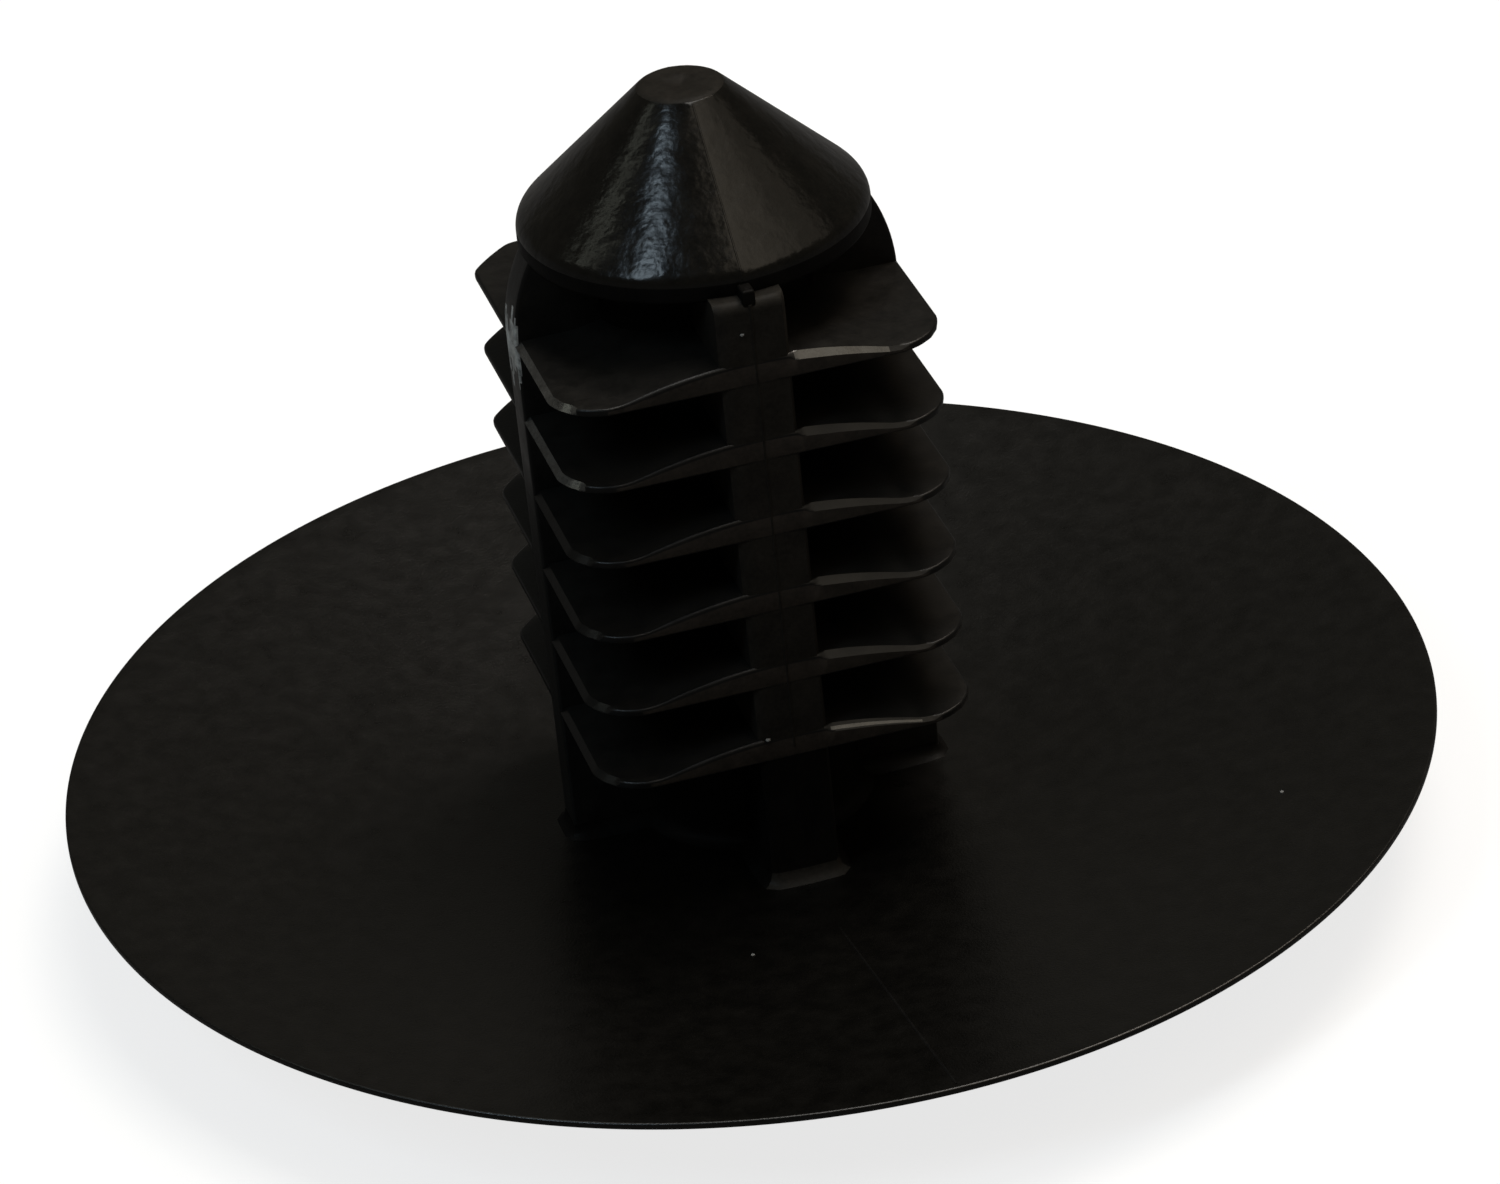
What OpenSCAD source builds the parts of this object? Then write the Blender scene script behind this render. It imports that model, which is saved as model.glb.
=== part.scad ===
// Push-in retainer clip moulded in one piece: a thin dished head and a barbed shank with a pointed tip.
// The clip stands on the middle of its head, with the shank pointing up along +Z.
// The main rib runs along Y and the two side ribs along X. All sizes are in millimetres.

/* [Head] */
// Diameter of the round head
head_d = 25.4; // [18:0.1:32]
// Thickness of the head at its centre
head_t = 1; // [0.8:0.05:1.6]
// Thickness of the head's thin edge
head_edge_t = 0.12; // [0.08:0.01:0.4]
// Height by which the head's edge stands above its centre, on the shank's side
dish_h = 1.3; // [0.8:0.05:1.6]
// Diameter of the flat middle of the head's outer face
rest_d = 8; // [6:0.5:12]
// Diameter of the flat seat from which the shank rises
seat_d = 9; // [8:0.1:12]

/* [Shank] */
// Width across the four flats of the shank, which is also the width of each crossed rib
shank_w = 7.08; // [6:0.02:8]
// Thickness of the main rib
main_rib_t = 1.28; // [0.8:0.02:2]
// Thickness of the side ribs
side_rib_t = 0.75; // [0.5:0.05:1.5]
// Radius on which the side ribs' edges lean in to the tip, above the topmost barb
shoulder_r = 3.3; // [2.6:0.1:6]
// Diameter of the round core
core_d = 4; // [3:0.1:5]
// Size of the flare where the shank meets the head
foot_flare = 0.25; // [0.1:0.05:0.5]

/* [Barbs] */
// Number of barbs
barb_n = 6; // [3:1:9]
// Diameter over the barbs' corners
barb_d = 8.9; // [8:0.05:10]
// Distance from one barb to the next
barb_pitch = 1.51; // [1.3:0.01:2]
// Thickness of a barb in its middle, where it is domed across its width
barb_t = 0.48; // [0.3:0.02:0.8]
// Width of a barb's domed middle
barb_dome_w = 5.8; // [5:0.1:6.5]
// Thickness of a barb's thin lip, outside its domed middle
barb_lip_t = 0.15; // [0.05:0.01:0.25]
// Height of the lowest barb's underside above the head's centre
barb_start = 2.65; // [1.6:0.05:4]

/* [Tip] */
// Diameter of the pointed tip at its base
tip_d = 6.28; // [5.5:0.02:7]
// Height of the tip's base above the topmost barb's underside
tip_gap = 1.6; // [1.5:0.05:2.5]
// Height of the upright band round the tip's base
tip_band_h = 0.35; // [0.1:0.01:0.5]
// Angle between the tip's flank and level, in degrees
tip_angle = 44; // [35:1:55]
// Diameter of the blunt end
tip_end_d = 1.45; // [1:0.05:2]
// Diameter of the gate mark in the blunt end
gate_d = 0.7; // [0.4:0.05:0.9]
// Depth of the gate mark
gate_depth = 0.1; // [0.05:0.01:0.15]

/* [Hidden] */
nylon_black = [0.09, 0.085, 0.08];
round_fn = 180;

// Heights above the surface on which the clip stands
head_edge_top = head_t + dish_h;
head_edge_low = head_edge_top - head_edge_t;
foot_low = head_t / 2;
barb_low = head_t + barb_start;
barb_top = barb_low + (barb_n - 1) * barb_pitch;
tip_low = barb_top + tip_gap;
tip_cone_low = tip_low + tip_band_h;
tip_top = tip_cone_low + (tip_d - tip_end_d) / 2 * tan(tip_angle);

// The outer face curves up to the edge on this radius, level where it leaves the flat middle
sweep_w = (head_d - rest_d) / 2;
outer_face_r = (sweep_w ^ 2 + head_edge_low ^ 2) / (2 * head_edge_low);

// Radius of the dome across a barb, and of the ball that hollows the gate mark
dome_r = ((barb_dome_w / 2) ^ 2 + barb_t ^ 2) / (2 * barb_t);
gate_r = ((gate_d / 2) ^ 2 + gate_depth ^ 2) / (2 * gate_depth);

// Thin dished disc with a flat middle on its outer face and a fine edge
module head() {
    rotate_extrude($fn = round_fn)
        intersection() {
            polygon([
                [0, 0],
                [head_d / 2, 0],
                [head_d / 2, head_edge_top],
                [seat_d / 2, head_t],
                [0, head_t]
            ]);
            union() {
                square([rest_d / 2, head_t]);
                translate([rest_d / 2, outer_face_r])
                    circle(r = outer_face_r, $fn = 4 * round_fn);
            }
        }
}

// Main rib, upright and square up to the tip's base
module main_rib() {
    translate([-main_rib_t / 2, -shank_w / 2, foot_low])
        cube([main_rib_t, shank_w, tip_low - foot_low]);
    rotate(90)
        foot(main_rib_t);
}

// Side ribs, whose edges curve inwards above the topmost barb
module side_ribs() {
    rotate([90, 0, 0])
        linear_extrude(side_rib_t, center = true) {
            translate([-shank_w / 2, foot_low])
                square([shank_w, barb_top - foot_low]);
            for (side = [0, 1])
                mirror([side, 0])
                    intersection() {
                        translate([0, barb_top])
                            square([shank_w / 2, tip_gap]);
                        translate([shank_w / 2 - shoulder_r, barb_top])
                            circle(r = shoulder_r, $fn = 4 * round_fn);
                    }
        }
    foot(side_rib_t);
}

// Flared foot of a rib of the given thickness that runs along X
module foot(rib_t) {
    intersection() {
        flare_wedge(shank_w, rib_t + 2 * foot_flare);
        rotate(90)
            flare_wedge(rib_t, shank_w + 2 * foot_flare);
    }
}

// Ridge of the given top width whose long sides lean outwards to the head
module flare_wedge(top_w, length) {
    rotate([90, 0, 0])
        linear_extrude(length, center = true)
            polygon([
                [-top_w / 2 - foot_flare, foot_low],
                [top_w / 2 + foot_flare, foot_low],
                [top_w / 2 + foot_flare, head_t],
                [top_w / 2, head_t + foot_flare],
                [-top_w / 2, head_t + foot_flare],
                [-top_w / 2 - foot_flare, head_t]
            ]);
}

// Round core from the head to the tip, flared where it meets the head
module core() {
    translate([0, 0, foot_low])
        cylinder(d = core_d, h = tip_low - foot_low, $fn = round_fn);
    translate([0, 0, head_t])
        cylinder(d1 = core_d + 2 * foot_flare, d2 = core_d, h = foot_flare, $fn = round_fn);
}

// One barb: level underneath, domed above with a thin lip on both sides, and cut round at its corners
module barb() {
    intersection() {
        cylinder(d = barb_d, h = barb_t, $fn = round_fn);
        rotate([90, 0, 0])
            linear_extrude(shank_w, center = true)
                intersection() {
                    translate([-shank_w / 2, 0])
                        square([shank_w, barb_t]);
                    union() {
                        translate([0, barb_t - dome_r])
                            circle(r = dome_r, $fn = 4 * round_fn);
                        translate([-shank_w / 2, 0])
                            square([shank_w, barb_lip_t]);
                    }
                }
    }
}

// Pointed tip: upright band, conical flank and a flat blunt end with a gate mark
module tip() {
    difference() {
        rotate_extrude($fn = round_fn)
            polygon([
                [0, tip_low],
                [tip_d / 2, tip_low],
                [tip_d / 2, tip_cone_low],
                [tip_end_d / 2, tip_top],
                [0, tip_top]
            ]);
        translate([0, 0, tip_top + gate_r - gate_depth])
            sphere(r = gate_r, $fn = round_fn);
    }
}

module retainer_clip() {
    color(nylon_black) {
        head();
        core();
        main_rib();
        side_ribs();
        for (i = [0 : barb_n - 1])
            translate([0, 0, barb_low + i * barb_pitch])
                barb();
        tip();
    }
}

retainer_clip();
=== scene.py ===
import math

import bmesh
import bpy
import numpy as np
from mathutils import Matrix, Vector


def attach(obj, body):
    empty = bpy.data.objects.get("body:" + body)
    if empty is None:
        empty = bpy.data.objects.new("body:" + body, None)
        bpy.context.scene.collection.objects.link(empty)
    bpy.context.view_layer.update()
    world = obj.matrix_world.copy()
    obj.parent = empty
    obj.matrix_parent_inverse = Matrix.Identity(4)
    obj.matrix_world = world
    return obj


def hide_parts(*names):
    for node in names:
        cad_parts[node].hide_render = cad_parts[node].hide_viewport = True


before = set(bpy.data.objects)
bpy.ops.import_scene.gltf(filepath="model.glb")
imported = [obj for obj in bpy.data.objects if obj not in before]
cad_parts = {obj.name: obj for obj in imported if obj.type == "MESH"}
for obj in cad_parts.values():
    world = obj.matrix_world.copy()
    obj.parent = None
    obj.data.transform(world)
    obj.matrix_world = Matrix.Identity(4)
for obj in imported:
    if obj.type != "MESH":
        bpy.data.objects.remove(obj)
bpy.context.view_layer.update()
scene = bpy.context.scene
scene.view_settings.view_transform = "Standard"

# Sizes in millimetres, as in the CAD apart from rounding
MM = 0.001
HEAD_R = 12.7
HEAD_T = 1.0
HEAD_EDGE_LOW = 2.18
HEAD_EDGE_TOP = 2.3
REST_R = 4.0
SEAT_R = 4.5
DISH_SLOPE = (HEAD_EDGE_TOP - HEAD_T) / (HEAD_R - SEAT_R)
HALF_W = 3.54
MAIN_RIB_T = 1.28
SIDE_RIB_T = 0.75
SHOULDER_R = 3.3
CORE_R = 2.0
BARB_R = 4.45
BARB_LOW = 3.65
BARB_PITCH = 1.51
BARB_N = 6
BARB_T = 0.48
BARB_LIP_T = 0.15
DOME_R = 9.0
BARB_TOP = BARB_LOW + (BARB_N - 1) * BARB_PITCH
TIP_R = 3.14
TIP_LOW = 12.8
TIP_CONE_LOW = 13.15
TIP_TOP = 15.482
TIP_END_R = 0.725

# How far a shell reaches into its neighbour, below and above
SINK = 0.05
OVERLAP = 0.1

# Outlines and profiles in the plane
ROUND_STEPS = 6
CORNER_SHARE = 0.49


def fillet(points, radii, steps=ROUND_STEPS, closed=False):
    """A polyline with its corners rounded; a radius of 0 keeps the corner."""
    pts = [np.array(p, float) for p in points]
    out = []
    for i, (p, r) in enumerate(zip(pts, radii)):
        if r <= 0 or (not closed and i in (0, len(pts) - 1)):
            out.append(p)
            continue
        a = pts[i - 1] - p
        b = pts[(i + 1) % len(pts)] - p
        la = np.linalg.norm(a)
        lb = np.linalg.norm(b)
        a = a / la
        b = b / lb
        half = math.acos(max(-1, min(1, float(a @ b)))) / 2
        t = min(r / math.tan(half), CORNER_SHARE * la, CORNER_SHARE * lb)
        for k in range(steps + 1):
            s = k / steps
            out.append((1 - s) ** 2 * (p + a * t) + 2 * s * (1 - s) * p + s * s * (p + b * t))
    return np.array(out)


def resample(outline, n):
    """n points spaced evenly along a closed outline."""
    loop = np.vstack([outline, outline[:1]])
    d = np.r_[0, np.cumsum(np.linalg.norm(np.diff(loop, axis=0), axis=1))]
    s = np.linspace(0, d[-1], n, endpoint=False)
    return np.c_[np.interp(s, d, loop[:, 0]), np.interp(s, d, loop[:, 1])]


def inset(outline, d):
    """A closed outline that runs anticlockwise, moved inwards by d."""
    t = np.roll(outline, -1, 0) - np.roll(outline, 1, 0)
    t /= np.linalg.norm(t, axis=1)[:, None]
    return outline - d * np.c_[t[:, 1], -t[:, 0]]


# Shells that make up the one visible piece
class Skin:
    def __init__(self):
        self.verts = []
        self.faces = []
        self.mats = []

    def add(self, verts, faces, mat):
        start = len(self.verts)
        self.verts += [tuple(v) for v in verts]
        self.faces += [tuple(start + i for i in f) for f in faces]
        self.mats += [mat] * len(faces)


skin = Skin()
HEAD, SHANK, SPINE, PAINTED_SHADE, PAINTED_LIGHT_LAND, EDGE, PAINTED_HIGHLIGHT, PAINTED_REFLECTION, TIP, DUST = range(10)


def loops(rings, closed_ends=True):
    """Faces between rings of equal length, with a fan over each end."""
    n = len(rings[0])
    verts = [v for ring in rings for v in ring]
    faces = []
    for k in range(len(rings) - 1):
        for i in range(n):
            j = (i + 1) % n
            faces.append((k * n + i, k * n + j, (k + 1) * n + j, (k + 1) * n + i))
    if closed_ends:
        for k in (0, len(rings) - 1):
            c = len(verts)
            verts.append(np.mean(np.array(rings[k]), axis=0))
            faces += [(k * n + i, k * n + (i + 1) % n, c) for i in range(n)]
    return verts, faces


def lathe(profile, seg, shape=None):
    """Rings round Z from (radius, height) points; shape changes a ring's radii by angle."""
    ang = np.linspace(0, 2 * math.pi, seg, endpoint=False)
    rings = []
    for r, z in profile:
        rr = r * (shape(ang) if shape else np.ones(seg))
        rings.append(np.c_[rr * np.sin(ang), -rr * np.cos(ang), np.full(seg, z)])
    return rings


def stack(outline, levels):
    """Rings of an outline, each level an (inset, height)."""
    return [np.c_[inset(outline, d), np.full(len(outline), z)] for d, z in levels]


def rounded_end(z, r, steps=4):
    """Levels that round the edge of a flat end at height z."""
    out = []
    for k in range(steps + 1):
        t = math.pi / 2 * k / steps
        out.append((r * (1 - math.cos(t)), z - r * (1 - math.sin(t))))
    return out


def ripple(x, y, f):
    """Smooth irregular values from -1 to 1 that repeat exactly from run to run."""
    crossed = np.sin(f * x + 1.3) * np.sin(1.31 * f * y + 0.4)
    rising = np.sin(0.77 * f * (x + y) + 2.1)
    falling = np.sin(1.63 * f * (x - 0.6 * y) + 0.9)
    return (crossed + rising + falling) / 3


# Head: thin dished disc with a rounded edge
HEAD_SEG = 320
OUTER_STEPS = 24
HEAD_MIDDLE_R = 0.6
HEAD_EDGE_ROUND = 0.05
DISH_TOP_INSET = 0.3
SEAT_BLEND_R = 30
SEAT_BLEND_STEPS = 12
sweep = HEAD_R - REST_R
face_r = (sweep ** 2 + HEAD_EDGE_LOW ** 2) / (2 * HEAD_EDGE_LOW)
end_angle = math.asin(sweep / face_r)
outer = []
for k in range(OUTER_STEPS + 1):
    a = end_angle * k / OUTER_STEPS
    outer.append((REST_R + face_r * math.sin(a), face_r * (1 - math.cos(a))))
edge_line = [outer[-2], (HEAD_R, HEAD_EDGE_LOW), (HEAD_R, HEAD_EDGE_TOP), (SEAT_R, HEAD_T)]
edge = fillet(edge_line, [0, HEAD_EDGE_ROUND, HEAD_EDGE_ROUND, 0])
dish_top = (HEAD_R - DISH_TOP_INSET, HEAD_EDGE_TOP - DISH_TOP_INSET * DISH_SLOPE)
dish = fillet([dish_top, (SEAT_R, HEAD_T), (HEAD_MIDDLE_R, HEAD_T)], [0, SEAT_BLEND_R, 0], SEAT_BLEND_STEPS)
head_profile = [(HEAD_MIDDLE_R, 0)] + outer[:-1] + [tuple(p) for p in edge[1:-1]] + [tuple(p) for p in dish]
skin.add(*loops(lathe(head_profile, HEAD_SEG)), HEAD)

# Flare at the foot of the core and the ribs: distance outwards and height above the seat
FLARE = ((0.27, -SINK), (0.25, 0), (0.13, 0.05), (0.05, 0.13), (0, 0.27))
flare = [(d, HEAD_T + z) for d, z in FLARE]

# Core, flared at its foot, in painted shade
CORE_SEG = 96
core_profile = [(CORE_R + d, z) for d, z in flare] + [(CORE_R, TIP_LOW + OVERLAP)]
skin.add(*loops(lathe(core_profile, CORE_SEG)), PAINTED_SHADE)

# Main rib, flared at its foot, with a rounded top; painted shade below the lowest barb but for its front
# foot
RIB_POINTS = 120
RIB_ROUND_STEPS = 5
MAIN_RIB_ROUND = 0.07
SIDE_RIB_ROUND = 0.06
FACE_PEAK = 0.02
RIB_TOP_ROUND = 0.2
RIB_TOP_STEPS = 7
PAINTED_SHADE_ABOVE_BARB = 0.1
FRONT_FOOT_DEPTH = 0.1


def rib_outline(hx, hy, r, peak=0.0):
    """Anticlockwise outline of an upright rib; peak lifts the middle of its front and back."""
    pts = [(hx, -hy), (hx, hy), (0, hy + peak), (-hx, hy), (-hx, -hy), (0, -hy - peak)]
    return resample(fillet(pts, [r, r, 0, r, r, 0], RIB_ROUND_STEPS, True), RIB_POINTS)


main = rib_outline(MAIN_RIB_T / 2, HALF_W - FACE_PEAK, MAIN_RIB_ROUND, FACE_PEAK)
foot_levels = [(-d, z) for d, z in flare]
painted_shade_rings = len(foot_levels)
foot_rings = painted_shade_rings - 1
rings = stack(main, foot_levels + [(0, BARB_LOW + PAINTED_SHADE_ABOVE_BARB), (0, TIP_LOW - RIB_TOP_ROUND)])
for d, z in rounded_end(TIP_LOW, RIB_TOP_ROUND, RIB_TOP_STEPS)[1:]:
    rings.append(np.c_[main * (1, 1 - d / HALF_W), np.full(len(main), z)])
verts, faces = loops(rings)
skin.add(verts, faces, SPINE)
# Painted shade on the rib from its foot up to just above the lowest barb, all but the front of the flare
for f, face in enumerate(faces):
    ring = min(face) // len(main)
    y = main[f % len(main)][1]
    front_foot = ring < foot_rings and y < -HALF_W + FRONT_FOOT_DEPTH
    if ring < painted_shade_rings and not front_foot:
        skin.mats[f - len(faces)] = PAINTED_SHADE

# Side ribs: flared feet in painted shade, and edges that lean in to the tip, with a painted reflection
# streak at the upper left
SIDE_FOOT_INSET = 0.02
SIDE_FOOT_H = 0.6
SHOULDER_STEPS = 16
SIDE_POINTS = 260
EDGE_STRIPS = (-0.2, -0.1, 0, 0.1, 0.2)
LEFT_EDGE_X = -2
LEFT_EDGE_LOW = BARB_TOP - 2 * BARB_PITCH
REFLECTION_HALF_H = 0.55
REFLECTION_RAGGED = 0.5
REFLECTION_STRETCH = 4
REFLECTION_RIPPLE = 5
side_foot = rib_outline(HALF_W, SIDE_RIB_T / 2, SIDE_RIB_ROUND)
# The side ribs' feet are in painted shade
skin.add(*loops(stack(side_foot, foot_levels + [(SIDE_FOOT_INSET, HEAD_T + SIDE_FOOT_H)])), PAINTED_SHADE)

shoulder_angle = math.asin((TIP_LOW + OVERLAP - BARB_TOP) / SHOULDER_R)
right_edge = []
for k in range(SHOULDER_STEPS + 1):
    a = shoulder_angle * k / SHOULDER_STEPS
    right_edge.append((HALF_W - SHOULDER_R * (1 - math.cos(a)), BARB_TOP + SHOULDER_R * math.sin(a)))
left_edge = [(-x, z) for x, z in reversed(right_edge)]
side = [(HALF_W, HEAD_T - SINK)] + right_edge + left_edge + [(-HALF_W, HEAD_T - SINK)]
side = resample(np.array(side), SIDE_POINTS)
front_levels = rounded_end(SIDE_RIB_T / 2, SIDE_RIB_ROUND)
back_levels = [(d, -z) for d, z in reversed(front_levels)]
levels = back_levels + [(0, z) for z in EDGE_STRIPS] + front_levels
rings = [np.c_[ring[:, 0], -ring[:, 2], ring[:, 1]] for ring in stack(side, levels)]
verts, faces = loops(rings)
skin.add(verts, faces, SHANK)
# A ragged band round the top barb on the left edge is a painted reflection; the rest of that edge takes the
# glossier edge nylon
for f in range((len(levels) - 1) * len(side)):
    x, z = side[f % len(side)]
    y = -levels[f // len(side)][1]
    if x < LEFT_EDGE_X and z > LEFT_EDGE_LOW:
        ragged = REFLECTION_RAGGED * ripple(REFLECTION_STRETCH * y, z, REFLECTION_RIPPLE)
        in_reflection = abs(z - BARB_TOP) < REFLECTION_HALF_H + ragged
        skin.mats[f - len(faces)] = PAINTED_REFLECTION if in_reflection else EDGE

# Barbs: level underneath, domed across the width above, with a thin level lip on both sides
BARB_POINTS = 280
CORNER_STEPS = 4
FRONT_CORNERS = (2, 3)
CORNER_FULLER = 0.14
CORNER_ROUND = 0.4
DOME_SOFT = 0.03
LOW_ROUND = 0.03
LOW_RINGS = 5
TOP_STEPS = 5
INNER_INSETS = (0.16, 0.24, 0.34, 0.46, 0.6, 0.8, 1.0, 1.25, 1.5, 2.0, 2.6)

# Rounding of a barb's upper edge: start, least and most, and how it grows with the land's height
PLAIN_ROUND = (0.02, 0.03, 0.08)
RIGHT_ROUND = (0.04, 0.06, 0.12)
LEFT_LIP_ROUND = 0.11
ROUND_GROWTH = 0.2

# Where a barb's edge is bevelled, where its flat lands are painted lighter, and where its edge carries a
# painted highlight
FLAT_DEPTH = 0.02
LEFT_LIP_X = -3.2
LEFT_LIP_BACK = 0.3
HIGHLIGHT_END_X = 2.4
LOW_BARB_HIGHLIGHT_RINGS = (2, 3)
HIGHLIGHT_LIPS = 2


def barb_height(x):
    """Height of a barb's upper face; the dome runs softly into the lip."""
    dome = np.sqrt(DOME_R ** 2 - x ** 2) - DOME_R + BARB_T
    return (dome + BARB_LIP_T + np.sqrt((dome - BARB_LIP_T) ** 2 + DOME_SOFT ** 2)) / 2 - DOME_SOFT / 2


half_flat = math.sqrt(BARB_R ** 2 - HALF_W ** 2)
corner = math.atan2(half_flat, HALF_W)
outline = []
radii = []
for q in range(4):
    for k in range(CORNER_STEPS + 1):
        a = q * math.pi / 2 + corner + (math.pi / 2 - 2 * corner) * k / CORNER_STEPS
        r = BARB_R
        if q in FRONT_CORNERS:
            r += CORNER_FULLER * math.sin(math.pi * k / CORNER_STEPS)
        outline.append((r * math.cos(a), r * math.sin(a)))
        radii.append(CORNER_ROUND if k in (0, CORNER_STEPS) else 0)
outline = resample(fillet(outline, radii, closed=True), BARB_POINTS)
land = barb_height(outline[:, 0])


def edge_round(start, least, most):
    """Radius of a barb's upper edge at each point of its outline."""
    return np.clip(start + ROUND_GROWTH * land, least, most)


front_right = (outline[:, 0] > MAIN_RIB_T / 2) & (outline[:, 1] < -HALF_W + FLAT_DEPTH)
left_lip = (outline[:, 0] < LEFT_LIP_X) & (outline[:, 1] < LEFT_LIP_BACK)
bevel = (front_right | left_lip)[:, None]
top_r = np.where(left_lip, LEFT_LIP_ROUND, edge_round(*PLAIN_ROUND))
top_r = np.where(front_right, edge_round(*RIGHT_ROUND), top_r)[:, None]
lower = []
for t in np.linspace(0, math.pi / 2, LOW_RINGS):
    p = inset(outline, LOW_ROUND * (1 - math.sin(t)))
    lower.append(np.c_[p, np.full(BARB_POINTS, LOW_ROUND * (1 - math.cos(t)))])
upper = []
for k in range(TOP_STEPS + 1):
    t = math.pi / 2 * k / TOP_STEPS
    inwards = top_r * np.where(bevel, k / TOP_STEPS, 1 - math.cos(t))
    down = top_r * np.where(bevel, 1 - k / TOP_STEPS, 1 - math.sin(t))
    upper.append(np.c_[inset(outline, inwards), land - down[:, 0]])
inner = []
for d in INNER_INSETS:
    p = outline * (1 - d / BARB_R)
    inner.append(np.c_[p, barb_height(p[:, 0])])
first = (len(lower) - 1) * BARB_POINTS
last = first + len(upper) * BARB_POINTS
# Painted light: the barbs' flat front and back lands get a lighter nylon. Painted highlight: the front
# right edge of the top barb, two rings of it on the lowest barb, and the left lips of the top two barbs
for i in range(BARB_N):
    rise = (0, 0, BARB_LOW + i * BARB_PITCH)
    verts, faces = loops([ring + rise for ring in lower + upper + inner])
    skin.add(verts, faces, SHANK)
    for f in range(first, last):
        ring, point = divmod(f - first, BARB_POINTS)
        x, y = outline[point]
        flat = ring == 0 and abs(y) > HALF_W - FLAT_DEPTH
        highlighted = i == BARB_N - 1 or i == 0 and ring in LOW_BARB_HIGHLIGHT_RINGS
        highlight_front = highlighted and front_right[point] and x < HIGHLIGHT_END_X
        highlight_lip = i >= BARB_N - HIGHLIGHT_LIPS and left_lip[point]
        skin.mats[f - len(faces)] = PAINTED_LIGHT_LAND if flat else PAINTED_HIGHLIGHT if highlight_front or highlight_lip else EDGE

# Pointed tip with a slight edge along the parting plane and a rough gate mark
TIP_SEG = 240
TIP_WIDER = 0.04
TIP_LOWER = 0.08
TIP_BASE_R = 0.5
TIP_ROUNDS = [0, 0.08, 0.4, 0.3, 0]
CONE_STEPS = 10
END_RADII = (0.6, 0.52, 0.46, 0.4, 0.34, 0.28, 0.2, 0.12, 0.05)
BAND_UNDER_CONE = 0.1
END_LOW = TIP_CONE_LOW + 1
END_MARGIN = 0.06
PARTING_RISE = 0.0055
PARTING_DROP = 0.016
PARTING_ANGLE = 0.15
GATE_R = 0.36
GATE_DEPTH = 0.06
ROUGH_MARGIN = 0.05
ROUGH_FADE = 0.2
COARSE_DEPTH = 0.03
COARSE_RIPPLE = 9
FINE_DEPTH = 0.008
FINE_RIPPLE = 23


def parting_edge(ang):
    """Factor on the tip's radius by angle, largest in the parting plane."""
    off = np.abs((ang + math.pi / 2) % math.pi - math.pi / 2)
    return 1 + PARTING_RISE - PARTING_DROP * (1 - np.exp(-off / PARTING_ANGLE))


def roughness(x, y, depth, f):
    """Uneven depth between 0 and the given one."""
    return depth * (1 + ripple(x, y, f)) / 2


tip_r = TIP_R + TIP_WIDER
tip_low = TIP_LOW - TIP_LOWER
tip_base = [(TIP_BASE_R, tip_low), (tip_r, tip_low), (tip_r, TIP_CONE_LOW)]
tip_line = tip_base + [(TIP_END_R, TIP_TOP), (0.0, TIP_TOP)]
tip_points = fillet(tip_line, TIP_ROUNDS)[:-1]
below_end = len(tip_points) - ROUND_STEPS - 1
cone_start = tip_points[below_end - 1]
cone_end = tip_points[below_end]
tip_profile = [tuple(p) for p in tip_points[:below_end]]
for k in range(1, CONE_STEPS):
    tip_profile.append(tuple(cone_start + (cone_end - cone_start) * k / CONE_STEPS))
tip_profile += [tuple(p) for p in tip_points[below_end:]]
tip_profile += [(r, TIP_TOP) for r in END_RADII]
band = sum(z < TIP_CONE_LOW - BAND_UNDER_CONE for r, z in tip_profile)
end = sum(r > TIP_END_R + END_MARGIN or z < END_LOW for r, z in tip_profile)
rings = lathe(tip_profile, TIP_SEG, parting_edge)
for ring in rings:
    x = ring[:, 0]
    y = ring[:, 1]
    r = np.hypot(x, y)
    near = np.clip((TIP_END_R + ROUGH_MARGIN - r) / ROUGH_FADE, 0, 1) * (ring[:, 2] > END_LOW)
    dimple = GATE_DEPTH * np.clip(1 - (r / GATE_R) ** 2, 0, 1)
    rough = roughness(x, y, COARSE_DEPTH, COARSE_RIPPLE) + roughness(x, y, FINE_DEPTH, FINE_RIPPLE)
    ring[:, 2] -= near * (dimple + rough)
verts, faces = loops(rings)
skin.add(verts, faces, TIP)
# Painted shade on the band under the cone; the gate mark takes the spine nylon
for f, face in enumerate(faces):
    ring = min(face) // TIP_SEG
    if ring < band - 1:
        skin.mats[f - len(faces)] = PAINTED_SHADE
    elif ring >= end:
        skin.mats[f - len(faces)] = SPINE

# Fine flash along the parting line, and the small tongue over each end of the main rib, in painted shade
FLASH_TOP_SHARE = 0.35
HEAD_FLASH = (0.07, 0.016)
HEAD_FLASH_INSET = 0.15
HEAD_FLASH_POINTS = 12
RIB_FLASH = (0.06, 0.012)
RIB_FLASH_ABOVE_BARB = 0.2
RIB_FLASH_UNDER_TIP = 0.05
RIB_FLASH_POINTS = 8
TIP_FLASH = (0.05, 0.01)
TIP_FLASH_LEAN = (0.7, 0.71)
TONGUE_HALF_W = 0.12
TONGUE_HALF_D = 0.2
TONGUE_INSET = 0.23
TONGUE_RISE = 0.2
TONGUE_ROUND = 0.05


def ridge(path, normal, width, height, mat):
    """A low strip along a path in the parting plane."""
    across = np.array([width / 2, 0, 0])
    top = across * FLASH_TOP_SHARE
    out = np.array(normal, float) * height
    rings = []
    for p in np.array(path, float):
        rings.append([p - across - out, p - top + out, p + top + out, p + across - out])
    skin.add(*loops(rings), mat)


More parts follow.
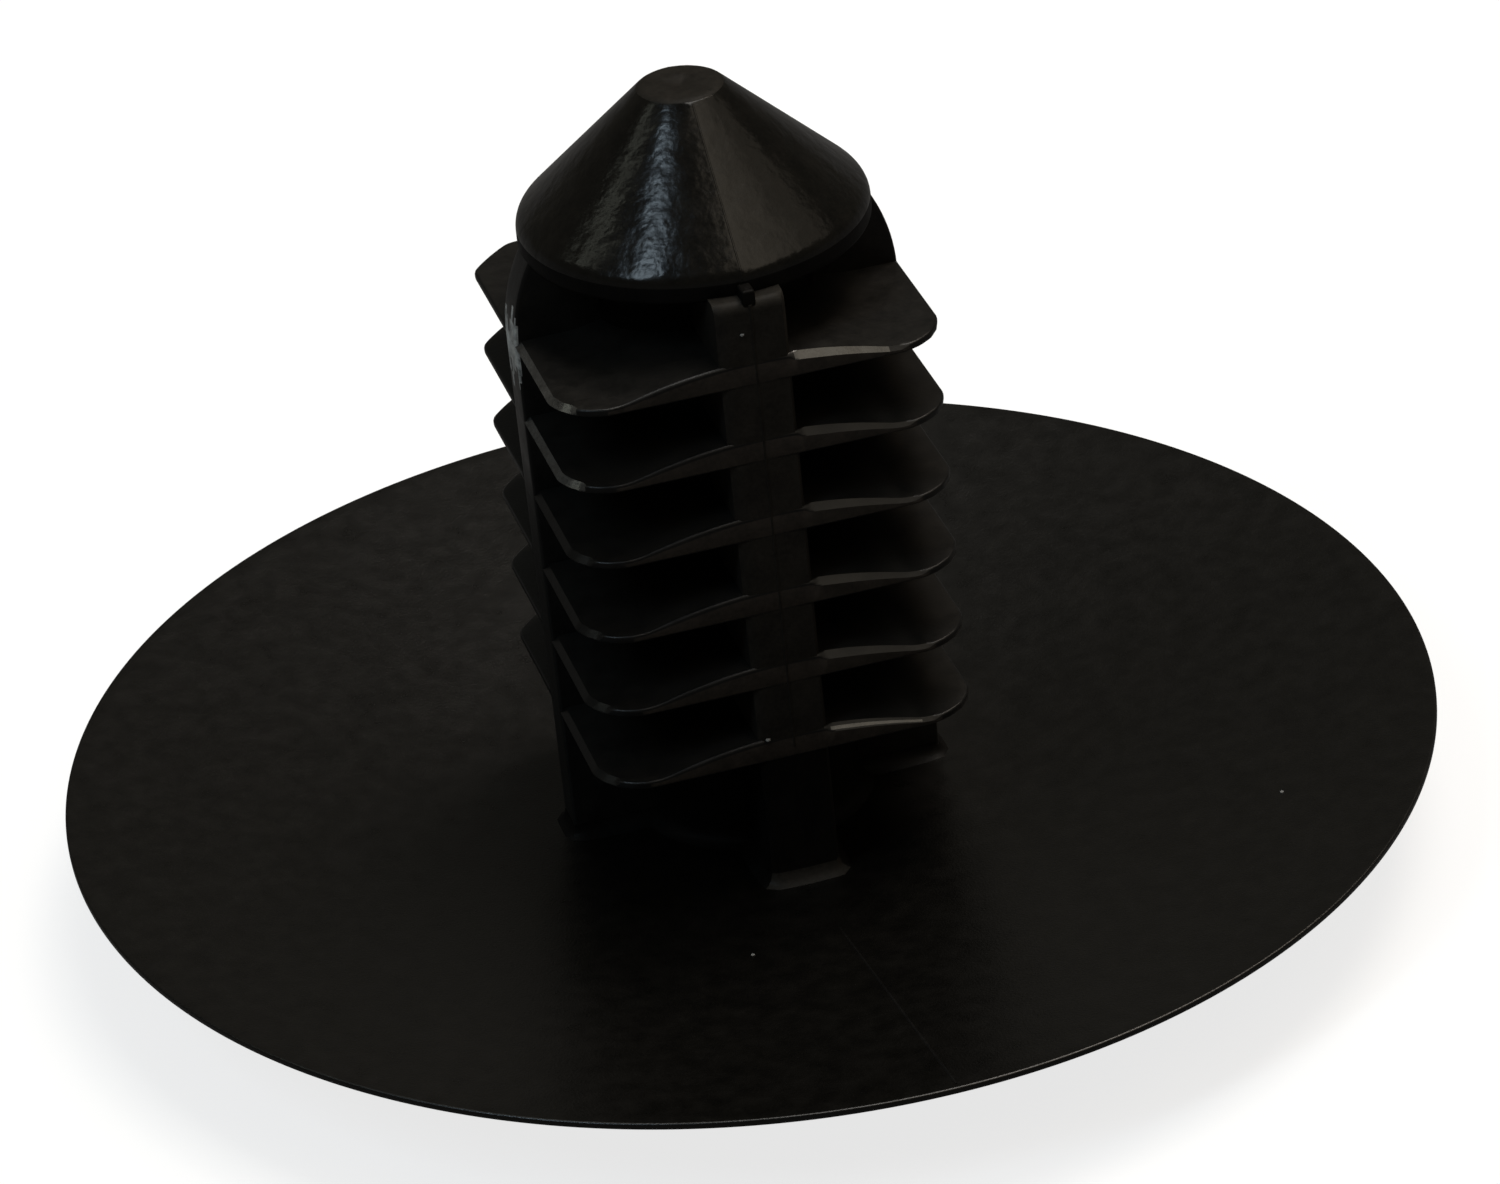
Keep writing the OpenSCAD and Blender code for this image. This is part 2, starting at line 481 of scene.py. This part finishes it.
head_flash_radii = np.r_[HALF_W, np.linspace(SEAT_R, HEAD_R - HEAD_FLASH_INSET, HEAD_FLASH_POINTS)]
rib_flash_low = BARB_LOW + RIB_FLASH_ABOVE_BARB
rib_flash_heights = np.linspace(rib_flash_low, TIP_LOW - RIB_FLASH_UNDER_TIP, RIB_FLASH_POINTS)
tongue_levels = [(0, TIP_LOW - TONGUE_RISE)] + rounded_end(TIP_LOW + TONGUE_RISE, TONGUE_ROUND)
cone = [(r * parting_edge(0), z) for r, z in tip_profile[band:end]]
lean_out, lean_up = TIP_FLASH_LEAN
for front in (-1, 1):
    head_path = [(0, front * r, HEAD_T + (r - SEAT_R) * DISH_SLOPE) for r in head_flash_radii]
    ridge(head_path, (0, 0, 1), *HEAD_FLASH, EDGE)
    tongue = rib_outline(TONGUE_HALF_W, TONGUE_HALF_D, TONGUE_ROUND) + (0, front * (HALF_W - TONGUE_INSET))
    skin.add(*loops(stack(tongue, tongue_levels)), PAINTED_SHADE)
    ridge([(0, front * HALF_W, z) for z in rib_flash_heights], (0, front, 0), *RIB_FLASH, SPINE)
    ridge([(0, front * r, z) for r, z in cone], (0, front * lean_out, lean_up), *TIP_FLASH, TIP)

# A few specks of dust: centre and radius
SPECK_FLATNESS = 0.6
SPECKS = (
    ((-0.478, -HALF_W, 4.102), 0.05),
    ((-0.196, -HALF_W, 12.213), 0.045),
    ((8.404, -5.644, 1.892), 0.045),
    ((-1.71, -5.884, 1.258), 0.04),
)
for centre, r in SPECKS:
    bm = bmesh.new()
    bmesh.ops.create_icosphere(bm, subdivisions=1, radius=r)
    verts = [np.array(v.co) * (1, 1, SPECK_FLATNESS) + centre for v in bm.verts]
    faces = [tuple(v.index for v in f.verts) for f in bm.faces]
    bm.free()
    skin.add(verts, faces, DUST)

# Materials
PATCH_SCALE = 2200.0
PATCH_DETAIL = 3.0
PATCH_ROUGH = 0.6
GRAIN_DETAIL = 3.0
GRAIN_ROUGH = 0.65
GRAIN_HEIGHT = 0.01 * MM
LUMP_SCALE = 3200.0
LUMP_DETAIL = 2.0
LUMP_HEIGHT = 0.03 * MM
DARKEST_AT = 0.7
LIGHTEST_AT = 1.3
GLOSSIEST_AT = 0.3
DULLEST_AT = 0.7

# Sockets of a colour mix: share, first colour, second colour and the result
MIX_SHARE = 0
MIX_FIRST = 6
MIX_SECOND = 7
MIX_RESULT = 2


def node(tree, kind, inputs=None, **props):
    """A new shader node; an input is a value, or a socket to link."""
    n = tree.nodes.new(kind)
    for k, v in props.items():
        setattr(n, k, v)
    for k, v in (inputs or {}).items():
        if isinstance(v, bpy.types.NodeSocket):
            tree.links.new(v, n.inputs[k])
        else:
            n.inputs[k].default_value = v
    return n


def new_material(name):
    m = bpy.data.materials.new(name)
    m.use_nodes = True
    m.node_tree.nodes.clear()
    return m, m.node_tree


def noise(tree, place, scale, detail, **more):
    """Values of a noise texture at the given place."""
    inputs = {"Vector": place, "Scale": scale, "Detail": detail, **more}
    return node(tree, "ShaderNodeTexNoise", inputs).outputs["Fac"]


def nylon(name, dark, light, rough, rough_spread, specular, grain, grain_size, mottle):
    """Black moulded nylon: slight mottling in colour and gloss, and a fine grain."""
    m, t = new_material(name)
    place = node(t, "ShaderNodeTexCoord").outputs["Object"]
    patches = noise(t, place, PATCH_SCALE, PATCH_DETAIL, Roughness=PATCH_ROUGH)
    fine = noise(t, place, 1 / (grain_size * MM), GRAIN_DETAIL, Roughness=GRAIN_ROUGH)
    lumps = noise(t, place, LUMP_SCALE, LUMP_DETAIL)
    both = node(t, "ShaderNodeMath", {0: patches, 1: fine}, operation="ADD")
    share = node(t, "ShaderNodeMapRange", {
        "Value": both.outputs[0],
        "From Min": DARKEST_AT,
        "From Max": LIGHTEST_AT,
    })
    colours = {MIX_SHARE: share.outputs[0], MIX_FIRST: (*dark, 1), MIX_SECOND: (*light, 1)}
    colour = node(t, "ShaderNodeMix", colours, data_type="RGBA")
    gloss = node(t, "ShaderNodeMapRange", {
        "Value": patches,
        "From Min": GLOSSIEST_AT,
        "From Max": DULLEST_AT,
        "To Min": rough - rough_spread,
        "To Max": rough + rough_spread,
    })
    lumpy = node(t, "ShaderNodeBump", {"Height": lumps, "Strength": mottle, "Distance": LUMP_HEIGHT})
    grainy = node(t, "ShaderNodeBump", {
        "Height": fine,
        "Strength": grain,
        "Distance": GRAIN_HEIGHT,
        "Normal": lumpy.outputs[0],
    })
    b = node(t, "ShaderNodeBsdfPrincipled", {
        "Base Color": colour.outputs[MIX_RESULT],
        "Roughness": gloss.outputs[0],
        "Normal": grainy.outputs[0],
        "Specular IOR Level": specular,
    })
    node(t, "ShaderNodeOutputMaterial", {"Surface": b.outputs[0]})
    return m


def plain(name, colour, rough):
    """One even colour."""
    m, t = new_material(name)
    b = node(t, "ShaderNodeBsdfPrincipled", {"Base Color": (*colour, 1), "Roughness": rough})
    node(t, "ShaderNodeOutputMaterial", {"Surface": b.outputs[0]})
    return m


# Nylons from HEAD to TIP: dark, light, roughness and its spread, specular, grain and its size, lumps
NYLONS = (
    ("nylon_head", (0.001, 0.0009, 0.0007), (0.0022, 0.0019, 0.0014), 0.3, 0.03, 0.36, 0.5, 0.05, 0.05),
    ("nylon_shank", (0.005, 0.0047, 0.0043), (0.01, 0.009, 0.0078), 0.4, 0.06, 0.14, 0.25, 0.08, 0.08),
    ("nylon_spine", (0.0085, 0.0075, 0.0063), (0.0165, 0.0145, 0.012), 0.5, 0.05, 0.06, 0.3, 0.08, 0.1),
    # Painted shade: a darker nylon for the core, the rib feet, the tongues and the band under the tip
    ("nylon_painted_shade", (0.0018, 0.0016, 0.0015), (0.0038, 0.0033, 0.0028), 0.5, 0.05, 0.05, 0.3, 0.08, 0.1),
    # Painted light: a lighter, warmer nylon for the barbs' flat lands
    ("nylon_land_painted_light", (0.0135, 0.0112, 0.0094), (0.027, 0.0218, 0.0177), 0.45, 0.06, 0.12, 0.3, 0.08, 0.2),
    ("nylon_edge", (0.0022, 0.0021, 0.002), (0.0045, 0.0041, 0.0037), 0.36, 0.06, 0.2, 0.25, 0.08, 0.15),
    # Glossier nylon whose light colour is a painted highlight on barb edges
    ("nylon_painted_highlight", (0.012, 0.0115, 0.0105), (0.045, 0.043, 0.039), 0.24, 0.06, 0.6, 0.3, 0.08, 0.2),
    # Painted reflection: a near-white streak on the left side rib's edge
    ("nylon_painted_reflection", (0.04, 0.04, 0.038), (0.5, 0.5, 0.48), 0.4, 0.1, 0.3, 0.4, 0.12, 0.4),
    ("nylon_tip", (0.0026, 0.0024, 0.002), (0.0055, 0.0048, 0.0038), 0.2, 0.03, 0.22, 0.3, 0.08, 0.6),
)
DUST_COLOUR = (0.13, 0.13, 0.125)
DUST_ROUGH = 0.9
materials = [nylon(*row) for row in NYLONS] + [plain("dust", DUST_COLOUR, DUST_ROUGH)]

# The one visible piece
SHARP_ANGLE = math.radians(38)
mesh = bpy.data.meshes.new("clip_skin")
mesh.from_pydata([tuple(c * MM for c in v) for v in skin.verts], [], skin.faces)
mesh.polygons.foreach_set("material_index", skin.mats)
for m in materials:
    mesh.materials.append(m)
bm = bmesh.new()
bm.from_mesh(mesh)
bmesh.ops.recalc_face_normals(bm, faces=bm.faces)
bm.to_mesh(mesh)
bm.free()
mesh.polygons.foreach_set("use_smooth", [True] * len(mesh.polygons))
mesh.set_sharp_from_angle(angle=SHARP_ANGLE)
mesh.update()
clip = bpy.data.objects.new("clip_skin", mesh)
scene.collection.objects.link(clip)
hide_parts("retainer_clip")
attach(clip, "root")

# Floor that turns up into a low round backdrop, in metres, just below the clip's rest face
FLOOR_SEG = 96
FLOOR_Z = -0.00002
FLOOR_RADII = (0.00001, 0.3, 0.8)
BACKDROP_R = 0.3
BACKDROP_ANGLES = np.linspace(0.1, 1.0, 10)
floor_profile = [(r, FLOOR_Z) for r in FLOOR_RADII]
for a in BACKDROP_ANGLES:
    floor_profile.append((FLOOR_RADII[-1] + BACKDROP_R * math.sin(a), BACKDROP_R * (1 - math.cos(a))))
floor_verts, floor_faces = loops(lathe(floor_profile, FLOOR_SEG), closed_ends=False)
floor_mesh = bpy.data.meshes.new("floor")
floor_mesh.from_pydata([tuple(v) for v in floor_verts], [], floor_faces)
floor_mesh.polygons.foreach_set("use_smooth", [True] * len(floor_mesh.polygons))
floor = bpy.data.objects.new("floor", floor_mesh)
scene.collection.objects.link(floor)

# The floor is white to the camera and keeps the shadow; the clip reflects it dim, like a dim room
FLOOR_GLOW = 0.78
FLOOR_COLOUR = (0.24, 0.24, 0.24, 1)
MIRRORED_COLOUR = (1, 0.97, 0.92, 1)
MIRRORED_STRENGTH = 0.12
white, t = new_material("white_floor")
path = node(t, "ShaderNodeLightPath")
glow = node(t, "ShaderNodeMath", {0: path.outputs["Is Camera Ray"], 1: FLOOR_GLOW}, operation="MULTIPLY")
lit = node(t, "ShaderNodeBsdfDiffuse", {"Color": FLOOR_COLOUR})
shine = node(t, "ShaderNodeEmission", {"Color": (1, 1, 1, 1), "Strength": glow.outputs[0]})
both = node(t, "ShaderNodeAddShader", {0: lit.outputs[0], 1: shine.outputs[0]})
mirrored = node(t, "ShaderNodeEmission", {"Color": MIRRORED_COLOUR, "Strength": MIRRORED_STRENGTH})
shaders = {0: path.outputs["Is Glossy Ray"], 1: both.outputs[0], 2: mirrored.outputs[0]}
seen = node(t, "ShaderNodeMixShader", shaders)
node(t, "ShaderNodeOutputMaterial", {"Surface": seen.outputs[0]})
floor_mesh.materials.append(white)

# World: a dim warm room that grows darker upwards
ROOM_COLOUR = (1.0, 0.94, 0.8, 1)
ROOM_LOW = 0.1
ROOM_HIGH = 0.8
ROOM_LOW_STRENGTH = 0.092
ROOM_HIGH_STRENGTH = 0.055
world = bpy.data.worlds.new("studio")
scene.world = world
world.use_nodes = True
room = world.node_tree.nodes["Background"]
room.inputs["Color"].default_value = ROOM_COLOUR
where = node(world.node_tree, "ShaderNodeTexCoord").outputs["Generated"]
height = node(world.node_tree, "ShaderNodeSeparateXYZ", {"Vector": where}).outputs["Z"]
fade = node(world.node_tree, "ShaderNodeMapRange", {
    "Value": height,
    "From Min": ROOM_LOW,
    "From Max": ROOM_HIGH,
    "To Min": ROOM_LOW_STRENGTH,
    "To Max": ROOM_HIGH_STRENGTH,
})
world.node_tree.links.new(fade.outputs[0], room.inputs["Strength"])

# Lamps: one overhead, warm panels at the right, a cool window within some sky at the left, two faint ones
LAMP_DISTANCE = 0.5
LAMP_AIM = Vector((0, 0, 0.008))
WARM = (1.0, 0.88, 0.7)

# Each lamp: name, azimuth, elevation, width, height, watts and colour
LAMPS = (
    ("overhead", 115, 77, 0.24, 0.24, 1.3, (1.0, 0.97, 0.92)),
    ("warm_near", 34, 54, 0.14, 0.3, 0.075, WARM),
    ("warm_mid", 44, 54, 0.3, 0.32, 0.15, WARM),
    ("warm_wide", 58, 54, 0.56, 0.34, 0.3, WARM),
    ("warm_side", 120, 60, 0.16, 0.16, 0.6, (1.0, 0.86, 0.72)),
    ("window", -60, 50, 0.05, 0.2, 0.5, (0.72, 0.88, 1.0)),
    ("sky", -60, 50, 0.13, 0.26, 0.14, (0.45, 0.7, 1.0)),
    ("left_streak", -108, 44, 0.04, 0.2, 0.06, (0.95, 1.0, 0.85)),
    ("left_back", -150, 70, 0.3, 0.3, 0.16, (0.9, 1.0, 0.95)),
)


def towards(azimuth, elevation):
    """Unit vector from the clip to a place at the given angles, in radians."""
    level = math.cos(elevation)
    return Vector((math.sin(azimuth) * level, -math.cos(azimuth) * level, math.sin(elevation)))


for name, azimuth, elevation, width, height, watts, colour in LAMPS:
    data = bpy.data.lights.new(name, "AREA")
    data.shape = "RECTANGLE"
    data.size = width
    data.size_y = height
    data.energy = watts
    data.color = colour
    lamp = bpy.data.objects.new(name, data)
    direction = towards(math.radians(azimuth), math.radians(elevation))
    lamp.location = direction * LAMP_DISTANCE + LAMP_AIM
    lamp.rotation_mode = "QUATERNION"
    lamp.rotation_quaternion = direction.to_track_quat("Z", "Y")
    scene.collection.objects.link(lamp)

# Camera at the photograph's angle: position and turn were fitted to the part's outline
AZ = math.radians(-13.114)
EL = math.radians(31.073)
ROLL = math.radians(6.034)
AIM = Vector((0, 0, 0.0023))
DISTANCE = 0.11008
FOCAL_PX = 5938.9
FRAME_W = 1500.0
DROP_PX = 133.73
SIDE_PX = -2.5
SENSOR_W = 36.0
NEAREST = 0.01
FARTHEST = 10
back = towards(AZ, EL)
level_right = Vector((math.cos(AZ), math.sin(AZ), 0))
level_up = Vector((-math.sin(AZ) * math.sin(EL), math.cos(AZ) * math.sin(EL), math.cos(EL)))
right = level_right * math.cos(ROLL) - level_up * math.sin(ROLL)
up = level_right * math.sin(ROLL) + level_up * math.cos(ROLL)
pitch = math.atan(DROP_PX / FOCAL_PX)
yaw = math.atan(SIDE_PX / FOCAL_PX)
pitched_back = back * math.cos(pitch) - up * math.sin(pitch)
cam_up = up * math.cos(pitch) + back * math.sin(pitch)
cam_right = right * math.cos(yaw) - pitched_back * math.sin(yaw)
cam_back = pitched_back * math.cos(yaw) + right * math.sin(yaw)
cam_data = bpy.data.cameras.new("camera")
cam_data.sensor_width = SENSOR_W
cam_data.lens = SENSOR_W * FOCAL_PX / FRAME_W
cam_data.clip_start = NEAREST
cam_data.clip_end = FARTHEST
camera = bpy.data.objects.new("camera", cam_data)
turn = Matrix((cam_right, cam_up, cam_back)).transposed().to_4x4()
camera.matrix_world = Matrix.Translation(AIM + back * DISTANCE) @ turn
scene.collection.objects.link(camera)
scene.camera = camera
